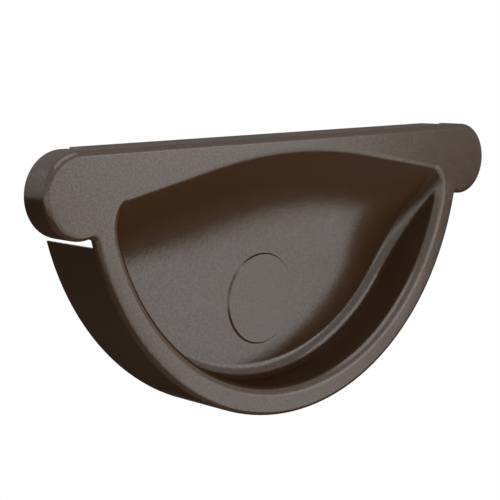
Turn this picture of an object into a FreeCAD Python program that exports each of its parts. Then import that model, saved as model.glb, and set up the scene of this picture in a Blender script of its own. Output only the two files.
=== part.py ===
"""End cap for a half-round rain gutter, pressed and folded from one piece of coated steel sheet.

Frame: X across the gutter, Y from the front face back into the gutter, Z up, millimetres.
The origin is the centre of the gutter's round on the outside of the front face.
"""
import FreeCAD
import Part
import math
import os
from FreeCAD import Vector

# Sheet and bends
SHEET = 0.6              # coated steel
BEND_RADIUS = 1.4        # outside radius where the front face folds back

# What the cap goes on: the gutter and the beads along its two edges
GUTTER_RADIUS = 62.5     # outside of the gutter's round
GUTTER_PLAY = 0.6        # between gutter and flange
BEAD_RADIUS = 8.5        # outside of a bead
BEAD_PLAY = 0.35         # between bead and collar
BEAD_OUTSIDE = 2.5       # bead centre, outside the gutter's round
BEAD_DROP = 5.55         # bead centre, below the origin

# Depths of the folded edges
FLANGE_DEPTH = 18.0      # round flange that holds the gutter
COLLAR_DEPTH = 7.5       # collars round the beads
STRIP_DEPTH = 10.8       # strip along the top

# Relief cuts that let the edges fold
CORNER_RADIUS = 0.8      # inner corner between a collar and the round
SLOT_FRONT = 1.7         # the slots and the V cuts start this far behind the front face
SLOT_HEIGHT = 1.8        # gap between a collar and the top of the round flange
V_COLLAR_INSIDE = 1.4    # V cut's outer end at the collar's rear edge, from the bead centre
V_TIP_INSIDE = 4.0       # V cut's tip, from the bead centre
V_STRIP_INSIDE = 4.9     # V cut's inner end at the strip, from the bead centre

# Pressed recess
RIM_WIDTH = 6.9          # from the outside of the flange to the recess's wall
RECESS_DEPTH = 13.4      # front face to floor
RIM_FILLET = 2.5         # round over from front face into the recess
FOOT_FILLET = 3.6        # wall into floor
SLOPE_ANGLE = 38.0       # upper slope, from the front face
SLOPE_BLEND = 34.0       # radius of the slope's run-out into the floor
ARCH_TOP = 0.2           # height of the recess's top edge in the middle
ARCH_PITCH = 10.4        # fall of the top edge towards each side, degrees
ARCH_RADIUS = 145.0      # round in the middle of the top edge

# Plain round pad pressed up in the middle of the floor
PAD_RADIUS = 11.5
PAD_HEIGHT = 0.45
PAD_SHOULDER = 0.4       # slope width of its edge, seen from the front
PAD_CLEAR = 4.5          # between the pad and the foot of the recess's wall

# Helpers for the cuts
PAST = 5.0               # length past a face, so that a cut goes clean through
TOUCH = 1e-3             # closer than this counts as touching

BACK = Vector(0, 1, 0)
OUTER_RADIUS = GUTTER_RADIUS + GUTTER_PLAY + SHEET
COLLAR_RADIUS = BEAD_RADIUS + BEAD_PLAY + SHEET
WALL_RADIUS = OUTER_RADIUS - RIM_WIDTH
BEAD_SIDE = GUTTER_RADIUS + BEAD_OUTSIDE
PAD_DROP = WALL_RADIUS - FOOT_FILLET - PAD_CLEAR - PAD_RADIUS


def at(x, z, y=0.0):
    return Vector(x, y, z)


def polar(centre_x, centre_z, radius, angle, y=0.0):
    """Point on a circle in a plane parallel to the front face."""
    turn = math.radians(angle)
    return Vector(centre_x + radius * math.cos(turn), y, centre_z + radius * math.sin(turn))


def meeting_angles(round_radius, collar_radius):
    """Angles at which the right collar's circle meets the round, seen from each centre."""
    apart = math.hypot(BEAD_SIDE, BEAD_DROP)
    lean = math.degrees(math.atan2(-BEAD_DROP, BEAD_SIDE))
    at_round = math.acos((apart ** 2 + round_radius ** 2 - collar_radius ** 2)
                         / (2 * apart * round_radius))
    at_collar = math.acos((apart ** 2 + collar_radius ** 2 - round_radius ** 2)
                          / (2 * apart * collar_radius))
    return lean - math.degrees(at_round), lean + 180 + math.degrees(at_collar)


def outline_face(inset, y):
    """The front outline: the round below, a collar circle at each side, a straight top."""
    round_radius = OUTER_RADIUS - inset
    collar_radius = COLLAR_RADIUS - inset
    round_angle, collar_angle = meeting_angles(round_radius, collar_radius)
    right_meet = polar(0, 0, round_radius, round_angle, y)
    left_meet = at(-right_meet.x, right_meet.z, y)
    bottom = at(0, -round_radius, y)
    right_top = at(BEAD_SIDE, collar_radius - BEAD_DROP, y)
    left_top = at(-BEAD_SIDE, collar_radius - BEAD_DROP, y)
    halfway = (collar_angle - 360 + 90) / 2
    right_side = polar(BEAD_SIDE, -BEAD_DROP, collar_radius, halfway, y)
    left_side = at(-right_side.x, right_side.z, y)
    edges = [
        Part.LineSegment(left_top, right_top).toShape(),
        Part.Arc(right_top, right_side, right_meet).toShape(),
        Part.Arc(right_meet, bottom, left_meet).toShape(),
        Part.Arc(left_meet, left_side, left_top).toShape(),
    ]
    return Part.Face(Part.Wire(edges))


def edges_where(shape, test):
    """The shape's edges that pass a test."""
    return [edge for edge in shape.Edges if test(edge)]


def lies_at(y):
    """Test for an edge that runs all along a plane parallel to the front face."""
    def test(edge):
        return abs(edge.BoundBox.YMin - y) < TOUCH and abs(edge.BoundBox.YMax - y) < TOUCH
    return test


def envelope(inset, depth):
    """Solid body of the cap's outside, or of its inside for an inset of one sheet."""
    body = outline_face(inset, inset).extrude(BACK * depth)
    round_radius = OUTER_RADIUS - inset
    round_angle = meeting_angles(round_radius, COLLAR_RADIUS - inset)[0]
    meet = polar(0, 0, round_radius, round_angle)

    def inner_corner(edge):
        bounds = edge.BoundBox
        runs_back = bounds.YLength > depth / 2
        off_side = abs(abs(bounds.Center.x) - meet.x)
        off_height = abs(bounds.Center.z - meet.z)
        return runs_back and off_side < TOUCH and off_height < TOUCH

    body = body.makeFillet(CORNER_RADIUS + inset, edges_where(body, inner_corner))
    return body.makeFillet(BEND_RADIUS - inset, edges_where(body, lies_at(inset)))


def slope_profile(grow):
    """Upper slope, its run-out and the floor as (down, y) points; down is measured from the arch."""
    angle = math.radians(SLOPE_ANGLE)
    floor = RECESS_DEPTH + grow
    blend = SLOPE_BLEND + grow
    shift = -grow / math.sin(angle)
    run_out_start = floor - blend * (1 - math.cos(angle))
    start_down = shift + run_out_start / math.tan(angle)
    end_down = start_down + blend * math.sin(angle)
    middle = angle / 2
    middle_point = (end_down - blend * math.sin(middle), floor - blend * (1 - math.cos(middle)))
    above = (shift - PAST / math.tan(angle), -PAST)
    return above, (start_down, run_out_start), middle_point, (end_down, floor)


def arch_points():
    """The arch along the recess's top: middle, and where each straight side starts and ends."""
    pitch = math.radians(ARCH_PITCH)
    side = ARCH_RADIUS * math.sin(pitch)
    side_z = ARCH_TOP - ARCH_RADIUS * (1 - math.cos(pitch))
    far = OUTER_RADIUS + PAST
    far_z = side_z - (far - side) * math.tan(pitch)
    return side, side_z, far, far_z


def behind_the_slope(grow):
    """Everything behind the recess's slope and floor, swept along the arch."""
    side, side_z, far, far_z = arch_points()
    path = Part.Wire([
        Part.LineSegment(at(-far, far_z), at(-side, side_z)).toShape(),
        Part.Arc(at(-side, side_z), at(0, ARCH_TOP), at(side, side_z)).toShape(),
        Part.LineSegment(at(side, side_z), at(far, far_z)).toShape(),
    ])
    pitch = math.radians(ARCH_PITCH)
    down = Vector(math.sin(pitch), 0, -math.cos(pitch))
    start = at(-far, far_z)

    def place(point):
        return start + down * point[0] + BACK * point[1]

    above, run_start, run_middle, run_end = slope_profile(grow)
    deep = run_end[1] + PAST
    high = above[0] - 2 * OUTER_RADIUS
    slope = Part.LineSegment(place(above), place(run_start)).toShape()
    run_out = Part.Arc(place(run_start), place(run_middle), place(run_end)).toShape()
    rest = [run_end, (run_end[0], deep), (high, deep), (high, above[1]), above]
    around = Part.makePolygon([place(point) for point in rest])
    profile = Part.Wire([slope, run_out] + around.Edges)
    return path.makePipeShell([profile], True, False)


def touches_wall(radius):
    """Test for an edge at the foot of the recess's round wall."""
    def test(edge):
        first, last = edge.ParameterRange
        points = [edge.valueAt(first + (last - first) * share) for share in (0.1, 0.5, 0.9)]
        on_wall = all(abs(math.hypot(point.x, point.z) - radius) < TOUCH for point in points)
        in_front = edge.BoundBox.YMax < 0
        seam = points[0].sub(points[1]).cross(BACK).Length < TOUCH
        return on_wall and not in_front and not seam
    return test


def pad(y):
    """The round pad, standing out of the floor at depth y towards the front."""
    centre = at(0, -PAD_DROP, y + PAST)
    body = Part.makeCylinder(PAD_RADIUS, PAST, centre, -BACK)
    crown = Part.makeCone(PAD_RADIUS, PAD_RADIUS - PAD_SHOULDER, PAD_HEIGHT, at(0, -PAD_DROP, y), -BACK)
    return body.fuse(crown).removeSplitter()


def recess(grow):
    """The recess as a solid; grown by one sheet it is the back of the pressing."""
    radius = WALL_RADIUS + grow
    floor = RECESS_DEPTH + grow
    body = Part.makeCylinder(radius, floor + PAST, at(0, 0, -PAST), BACK)
    body = body.cut(behind_the_slope(grow))
    body = body.makeFillet(FOOT_FILLET + grow, edges_where(body, touches_wall(radius)))
    return body.cut(pad(floor))


def pressed_body(inset, depth):
    """Envelope with the recess taken out and its rim rounded."""
    outer = envelope(inset, depth)
    body = outer.cut(recess(inset))

    def rim(edge):
        return lies_at(inset)(edge) and not any(edge.isSame(old) for old in outer.Edges)

    return body.makeFillet(RIM_FILLET - inset, edges_where(body, rim))


def both_sides(shape):
    """The shape and its mirror image across the middle."""
    return [shape, shape.mirror(at(0, 0), Vector(1, 0, 0))]


def box(near, far):
    """Block between two opposite corners."""
    size = far.sub(near)
    return Part.makeBox(size.x, size.y, size.z, near)


def end_slots():
    """Slots between the collars and the round flange, which also end the collars' depth."""
    collar_bottom = -BEAD_DROP - COLLAR_RADIUS
    flange_top = collar_bottom - SLOT_HEIGHT
    inner = (OUTER_RADIUS + WALL_RADIUS) / 2
    outer = BEAD_SIDE + COLLAR_RADIUS + PAST
    rear = FLANGE_DEPTH + PAST
    slot = box(at(inner, flange_top, SLOT_FRONT), at(outer, collar_bottom, rear))
    beyond_collar = box(at(inner, flange_top, COLLAR_DEPTH), at(outer, -BEAD_DROP, rear))
    return both_sides(slot.fuse(beyond_collar))


def top_cuts():
    """What the strip leaves out at the rear, and the V cuts between it and the collars."""
    rear = FLANGE_DEPTH + PAST
    outer = BEAD_SIDE + COLLAR_RADIUS + PAST
    top = COLLAR_RADIUS - BEAD_DROP + PAST
    corners = [
        at(BEAD_SIDE - V_TIP_INSIDE, -BEAD_DROP, SLOT_FRONT),
        at(BEAD_SIDE - V_COLLAR_INSIDE, -BEAD_DROP, COLLAR_DEPTH),
        at(outer, -BEAD_DROP, COLLAR_DEPTH),
        at(outer, -BEAD_DROP, rear),
        at(BEAD_SIDE - V_STRIP_INSIDE, -BEAD_DROP, rear),
        at(BEAD_SIDE - V_STRIP_INSIDE, -BEAD_DROP, STRIP_DEPTH),
    ]
    side = Part.Face(Part.makePolygon(corners + corners[:1])).extrude(Vector(0, 0, top + BEAD_DROP))
    behind = box(at(-outer, 0, STRIP_DEPTH), at(outer, top, rear))
    return both_sides(side) + [behind]


def end_cap():
    """The cap as one sheet: its front surface's body less the same body one sheet further in."""
    front = pressed_body(0.0, FLANGE_DEPTH)
    back = pressed_body(SHEET, FLANGE_DEPTH + PAST)
    return front.cut(back).cut(end_slots() + top_cuts())


os.makedirs("parts", exist_ok=True)
end_cap().exportStep("parts/end_cap.step")
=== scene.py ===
import bpy
import math
from mathutils import Matrix, Quaternion, Vector


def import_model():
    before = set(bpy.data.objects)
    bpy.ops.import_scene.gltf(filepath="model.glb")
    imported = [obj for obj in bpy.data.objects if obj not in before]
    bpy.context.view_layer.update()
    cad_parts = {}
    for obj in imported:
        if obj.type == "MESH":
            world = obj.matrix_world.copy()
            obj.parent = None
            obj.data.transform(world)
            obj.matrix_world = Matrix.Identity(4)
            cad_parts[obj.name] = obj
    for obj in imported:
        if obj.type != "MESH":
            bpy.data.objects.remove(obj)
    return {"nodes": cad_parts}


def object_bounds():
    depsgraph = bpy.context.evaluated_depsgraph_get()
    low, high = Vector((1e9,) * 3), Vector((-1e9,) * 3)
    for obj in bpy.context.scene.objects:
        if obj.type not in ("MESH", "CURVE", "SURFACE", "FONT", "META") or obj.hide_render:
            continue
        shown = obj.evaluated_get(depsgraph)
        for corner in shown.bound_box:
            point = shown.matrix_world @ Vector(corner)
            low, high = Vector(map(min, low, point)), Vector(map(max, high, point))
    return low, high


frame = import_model()
cad_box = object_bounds()

# Planes on the part where the folded sheet is sheared, and the strip's two surfaces, metres
FLANGE_REAR = 0.018
COLLAR_REAR = 0.0075
STRIP_REAR = 0.0108
SLOT_FRONT = 0.0017
FLANGE_TOP = -0.0168
STRIP_UNDER = 0.0033
STRIP_TOP = 0.0039
NEAR = 0.00002           # closer than this is the same plane or the same spot
FACES_IT = 0.98          # a face looks along an axis from this share of its normal on
EDGE_ON = 0.02           # and it stands along an axis below this share
SAME_FACE = 0.80         # corner normals closer than this share their shading

# Coating: colours, sheen, roughness, texture scales per metre and bump heights in metres
COAT_DARK = (0.0535, 0.0243, 0.0095, 1.0)
COAT_LIGHT = (0.0585, 0.0267, 0.0105, 1.0)
SHEEN_LOW = 0.046
SHEEN_HIGH = 0.064
COAT_ROUGH_LOW = 0.18
COAT_ROUGH_HIGH = 0.22
MOTTLE_SCALE = 90.0
PATCH_SCALE = 260.0
SWELL_SCALE = 500.0
GRAIN_SCALE = 1700.0
GRAIN_HEIGHT = 0.00003
GRAIN_STRENGTH = 0.6
SWELL_HEIGHT = 0.00005
SWELL_STRENGTH = 0.2

# Sheared edge
ZINC_DARK = (0.16, 0.15, 0.14, 1.0)
ZINC_LIGHT = (0.32, 0.30, 0.28, 1.0)
ZINC_METALLIC = 0.5
ZINC_ROUGH_LOW = 0.35
ZINC_ROUGH_HIGH = 0.55
STREAK_SCALE = 1800.0

# Studio, metres
FLOOR_DROP = 1.3
FLOOR_REACH = 3.7
FLOOR_FADE = 0.4
FLOOR_LENGTH = 48.0
FLOOR_COLOUR = 0.70
WORLD_AMBIENT = 0.07
LAMPS_NEAR = 1.05
LAMPS_FAR = 1.20

# Camera, fitted to the photograph: metres, degrees and millimetres
CAMERA_PLACE = (-0.233592, -0.219352, 0.024882)
CAMERA_YAW = -44.653
CAMERA_PITCH = -8.613
CAMERA_ROLL = 0.207
LENS = 96.754
SENSOR_WIDTH = 36.0
CLIP_START = 0.01


def socket(node, name, value):
    node.inputs[name].default_value = value


def grey(level):
    return (level, level, level, 1.0)


def new_material(name):
    material = bpy.data.materials.new(name)
    material.use_nodes = True
    material.node_tree.nodes.clear()
    return material, material.node_tree.nodes, material.node_tree.links


def noise(nodes, links, coordinates, scale, detail=2.0):
    node = nodes.new("ShaderNodeTexNoise")
    socket(node, "Scale", scale)
    socket(node, "Detail", detail)
    links.new(coordinates, node.inputs["Vector"])
    return node.outputs["Fac"]


def spread(nodes, links, factor, low, high):
    """Maps the middle of a noise to a range of values."""
    node = nodes.new("ShaderNodeMapRange")
    socket(node, "From Min", 0.3)
    socket(node, "From Max", 0.7)
    socket(node, "To Min", low)
    socket(node, "To Max", high)
    links.new(factor, node.inputs["Value"])
    return node.outputs["Result"]


def coated_steel():
    """Brown satin coating: a matt base under a thin sheen that stays even at grazing angles."""
    material, nodes, links = new_material("brown_coated_steel")
    output = nodes.new("ShaderNodeOutputMaterial")
    base = nodes.new("ShaderNodeBsdfPrincipled")
    sheen = nodes.new("ShaderNodeBsdfAnisotropic")
    both = nodes.new("ShaderNodeAddShader")
    links.new(base.outputs["BSDF"], both.inputs[0])
    links.new(sheen.outputs["BSDF"], both.inputs[1])
    links.new(both.outputs["Shader"], output.inputs["Surface"])
    place = nodes.new("ShaderNodeTexCoord").outputs["Object"]

    mottle = noise(nodes, links, place, MOTTLE_SCALE, 3.0)
    blend = nodes.new("ShaderNodeMix")
    blend.data_type = "RGBA"
    links.new(mottle, blend.inputs["Factor"])
    socket(blend, "A", COAT_DARK)
    socket(blend, "B", COAT_LIGHT)
    links.new(blend.outputs["Result"], base.inputs["Base Color"])
    socket(base, "Specular IOR Level", 0.0)

    patches = noise(nodes, links, place, PATCH_SCALE, 3.0)
    roughness = spread(nodes, links, patches, COAT_ROUGH_LOW, COAT_ROUGH_HIGH)
    links.new(roughness, base.inputs["Roughness"])
    links.new(roughness, sheen.inputs["Roughness"])

    grain = noise(nodes, links, place, GRAIN_SCALE)
    swell = noise(nodes, links, place, SWELL_SCALE, 1.0)
    fine = nodes.new("ShaderNodeBump")
    socket(fine, "Strength", GRAIN_STRENGTH)
    socket(fine, "Distance", GRAIN_HEIGHT)
    links.new(grain, fine.inputs["Height"])
    links.new(spread(nodes, links, grain, SHEEN_LOW, SHEEN_HIGH), sheen.inputs["Color"])
    broad = nodes.new("ShaderNodeBump")
    socket(broad, "Strength", SWELL_STRENGTH)
    socket(broad, "Distance", SWELL_HEIGHT)
    links.new(swell, broad.inputs["Height"])
    links.new(fine.outputs["Normal"], broad.inputs["Normal"])
    links.new(broad.outputs["Normal"], base.inputs["Normal"])
    links.new(broad.outputs["Normal"], sheen.inputs["Normal"])
    return material


def cut_edge():
    """Sheared edge of the sheet: zinc-coated steel between two thin skins of coating."""
    material, nodes, links = new_material("sheared_edge")
    output = nodes.new("ShaderNodeOutputMaterial")
    shader = nodes.new("ShaderNodeBsdfPrincipled")
    links.new(shader.outputs["BSDF"], output.inputs["Surface"])
    place = nodes.new("ShaderNodeTexCoord").outputs["Object"]
    streaks = noise(nodes, links, place, STREAK_SCALE, 4.0)
    blend = nodes.new("ShaderNodeMix")
    blend.data_type = "RGBA"
    links.new(streaks, blend.inputs["Factor"])
    socket(blend, "A", ZINC_DARK)
    socket(blend, "B", ZINC_LIGHT)
    links.new(blend.outputs["Result"], shader.inputs["Base Color"])
    roughness = spread(nodes, links, streaks, ZINC_ROUGH_LOW, ZINC_ROUGH_HIGH)
    links.new(roughness, shader.inputs["Roughness"])
    socket(shader, "Metallic", ZINC_METALLIC)
    return material


def is_cut(polygon):
    """True for a face on one of the planes where the folded sheet is sheared off."""
    centre, normal = polygon.center, polygon.normal
    rears = (FLANGE_REAR, COLLAR_REAR, STRIP_REAR, SLOT_FRONT)
    rear = normal.y > FACES_IT and any(abs(centre.y - depth) < NEAR for depth in rears)
    slot = normal.z > FACES_IT and abs(centre.z - FLANGE_TOP) < NEAR
    v_cut = abs(normal.z) < EDGE_ON and centre.y > SLOT_FRONT and STRIP_UNDER < centre.z < STRIP_TOP
    return rear or slot or v_cut


def even_shading(mesh):
    """Lets rounded faces and the faces they run into share their shading where they meet."""
    leaning = [corner.vector.copy() for corner in mesh.corner_normals]
    meeting = {}
    for polygon in mesh.polygons:
        for index in polygon.loop_indices:
            spot = mesh.vertices[mesh.loops[index].vertex_index].co
            key = tuple(round(value / NEAR) for value in spot)
            meeting.setdefault(key, []).append((index, polygon.area))
    shared = list(leaning)
    for corners in meeting.values():
        for index, _ in corners:
            total = Vector()
            for other, area in corners:
                if leaning[index].dot(leaning[other]) > SAME_FACE:
                    total += leaning[other] * area
            shared[index] = total.normalized()
    mesh.normals_split_custom_set(shared)


def dress(cap):
    """Gives the cap its coating, and the sheared edges their bare steel."""
    even_shading(cap.data)
    cap.data.materials.clear()
    cap.data.materials.append(coated_steel())
    cap.data.materials.append(cut_edge())
    for polygon in cap.data.polygons:
        polygon.material_index = 1 if is_cut(polygon) else 0


def seen_rays(nodes):
    """Light Path outputs that are 1 for camera, glossy and transmission rays."""
    path = nodes.new("ShaderNodeLightPath")
    return [path.outputs[name] for name in ("Is Camera Ray", "Is Glossy Ray", "Is Transmission Ray")]


def any_of(nodes, links, rays):
    """1 where any of the rays' outputs is 1."""
    total = rays[0]
    for ray in rays[1:]:
        larger = nodes.new("ShaderNodeMath")
        larger.operation = "MAXIMUM"
        links.new(total, larger.inputs[0])
        links.new(ray, larger.inputs[1])
        total = larger.outputs["Value"]
    return total


def floor():
    """Pale floor far below the part, whose far side fades out into the white surroundings."""
    material, nodes, links = new_material("pale_floor")
    output = nodes.new("ShaderNodeOutputMaterial")
    diffuse = nodes.new("ShaderNodeBsdfDiffuse")
    socket(diffuse, "Color", grey(FLOOR_COLOUR))
    clear = nodes.new("ShaderNodeBsdfTransparent")
    place = nodes.new("ShaderNodeTexCoord").outputs["Object"]
    split = nodes.new("ShaderNodeSeparateXYZ")
    links.new(place, split.inputs["Vector"])
    fade = nodes.new("ShaderNodeMapRange")
    fade.interpolation_type = "SMOOTHSTEP"
    socket(fade, "From Min", FLOOR_REACH - FLOOR_FADE)
    socket(fade, "From Max", FLOOR_REACH)
    links.new(split.outputs["Y"], fade.inputs["Value"])
    both = nodes.new("ShaderNodeMixShader")
    links.new(fade.outputs["Result"], both.inputs["Fac"])
    links.new(diffuse.outputs["BSDF"], both.inputs[1])
    links.new(clear.outputs["BSDF"], both.inputs[2])
    links.new(both.outputs["Shader"], output.inputs["Surface"])
    side, reach = FLOOR_LENGTH / 2, FLOOR_REACH
    mesh = bpy.data.meshes.new("floor")
    corners = [(-side, -reach, 0), (side, -reach, 0), (side, reach, 0), (-side, reach, 0)]
    mesh.from_pydata(corners, [], [(0, 1, 2, 3)])
    mesh.materials.append(material)
    plane = bpy.data.objects.new("floor", mesh)
    plane.location = (CAMERA_PLACE[0], CAMERA_PLACE[1], cad_box[0].z - FLOOR_DROP)
    plane.rotation_euler.z = math.radians(CAMERA_YAW)
    bpy.context.scene.collection.objects.link(plane)


def world():
    """White to the camera and in reflections, dimmer as a light on matt surfaces."""
    surroundings = bpy.data.worlds.new("studio")
    bpy.context.scene.world = surroundings
    surroundings.use_nodes = True
    nodes, links = surroundings.node_tree.nodes, surroundings.node_tree.links
    nodes.clear()
    output = nodes.new("ShaderNodeOutputWorld")
    background = nodes.new("ShaderNodeBackground")
    socket(background, "Color", grey(1.0))
    strength = nodes.new("ShaderNodeMapRange")
    socket(strength, "To Min", WORLD_AMBIENT)
    socket(strength, "To Max", 1.0)
    links.new(any_of(nodes, links, seen_rays(nodes)), strength.inputs["Value"])
    links.new(strength.outputs["Result"], background.inputs["Strength"])
    links.new(background.outputs["Background"], output.inputs["Surface"])


def panel(name, azimuth, elevation, distance, width, height, radiance, lean=0.0, mirrored=True):
    """Soft rectangular lamp aimed at the part; azimuth 0 is in front of it and 90 to its right.

    A lamp that isn't mirrored lights matt surfaces and doesn't show in the sheen.
    """
    turn, rise = math.radians(azimuth), math.radians(elevation)
    away = Vector((math.sin(turn) * math.cos(rise), -math.cos(turn) * math.cos(rise), math.sin(rise)))
    lamp = bpy.data.lights.new(name, "AREA")
    lamp.shape = "RECTANGLE"
    lamp.size, lamp.size_y = width, height
    lamp.energy = radiance * math.pi * width * height
    lamp.color = (1.0, 1.0, 1.0)
    holder = bpy.data.objects.new(name, lamp)
    holder.location = away * distance
    holder.rotation_mode = "QUATERNION"
    holder.rotation_quaternion = away.to_track_quat("Z", "Y") @ Quaternion((0, 0, 1), math.radians(lean))
    holder.visible_camera = False
    holder.visible_glossy = mirrored
    bpy.context.scene.collection.objects.link(holder)


def lights():
    panel("front", 29, -17, LAMPS_NEAR, 0.95, 1.20, 1.15, lean=9)
    panel("front_left", -40, -15, LAMPS_NEAR, 1.95, 0.78, 0.50)
    panel("fill", -25, -10, LAMPS_NEAR, 2.00, 1.05, 0.54, mirrored=False)
    panel("bright_strip", 44, -17, LAMPS_NEAR, 0.33, 1.20, 1.05, lean=9)
    panel("overhead", 0, 80, LAMPS_FAR, 1.20, 1.20, 1.50)
    panel("back", 165, 20, LAMPS_FAR, 2.00, 0.90, 0.45)
    panel("back_left", -138, 25, LAMPS_FAR, 0.80, 0.80, 0.25)


def camera():
    yaw, pitch, roll = (math.radians(angle) for angle in (CAMERA_YAW, CAMERA_PITCH, CAMERA_ROLL))
    upright = Matrix.Rotation(math.pi / 2, 4, "X")
    lens = bpy.data.cameras.new("camera")
    lens.sensor_width = SENSOR_WIDTH
    lens.lens = LENS
    lens.clip_start = CLIP_START
    holder = bpy.data.objects.new("camera", lens)
    turn = Matrix.Rotation(yaw, 4, "Z") @ Matrix.Rotation(pitch, 4, "X") @ Matrix.Rotation(roll, 4, "Y")
    holder.matrix_world = Matrix.Translation(CAMERA_PLACE) @ turn @ upright
    bpy.context.scene.collection.objects.link(holder)
    bpy.context.scene.camera = holder


dress(frame["nodes"]["end_cap"])
floor()
world()
lights()
camera()
bpy.context.scene.view_settings.view_transform = "Standard"
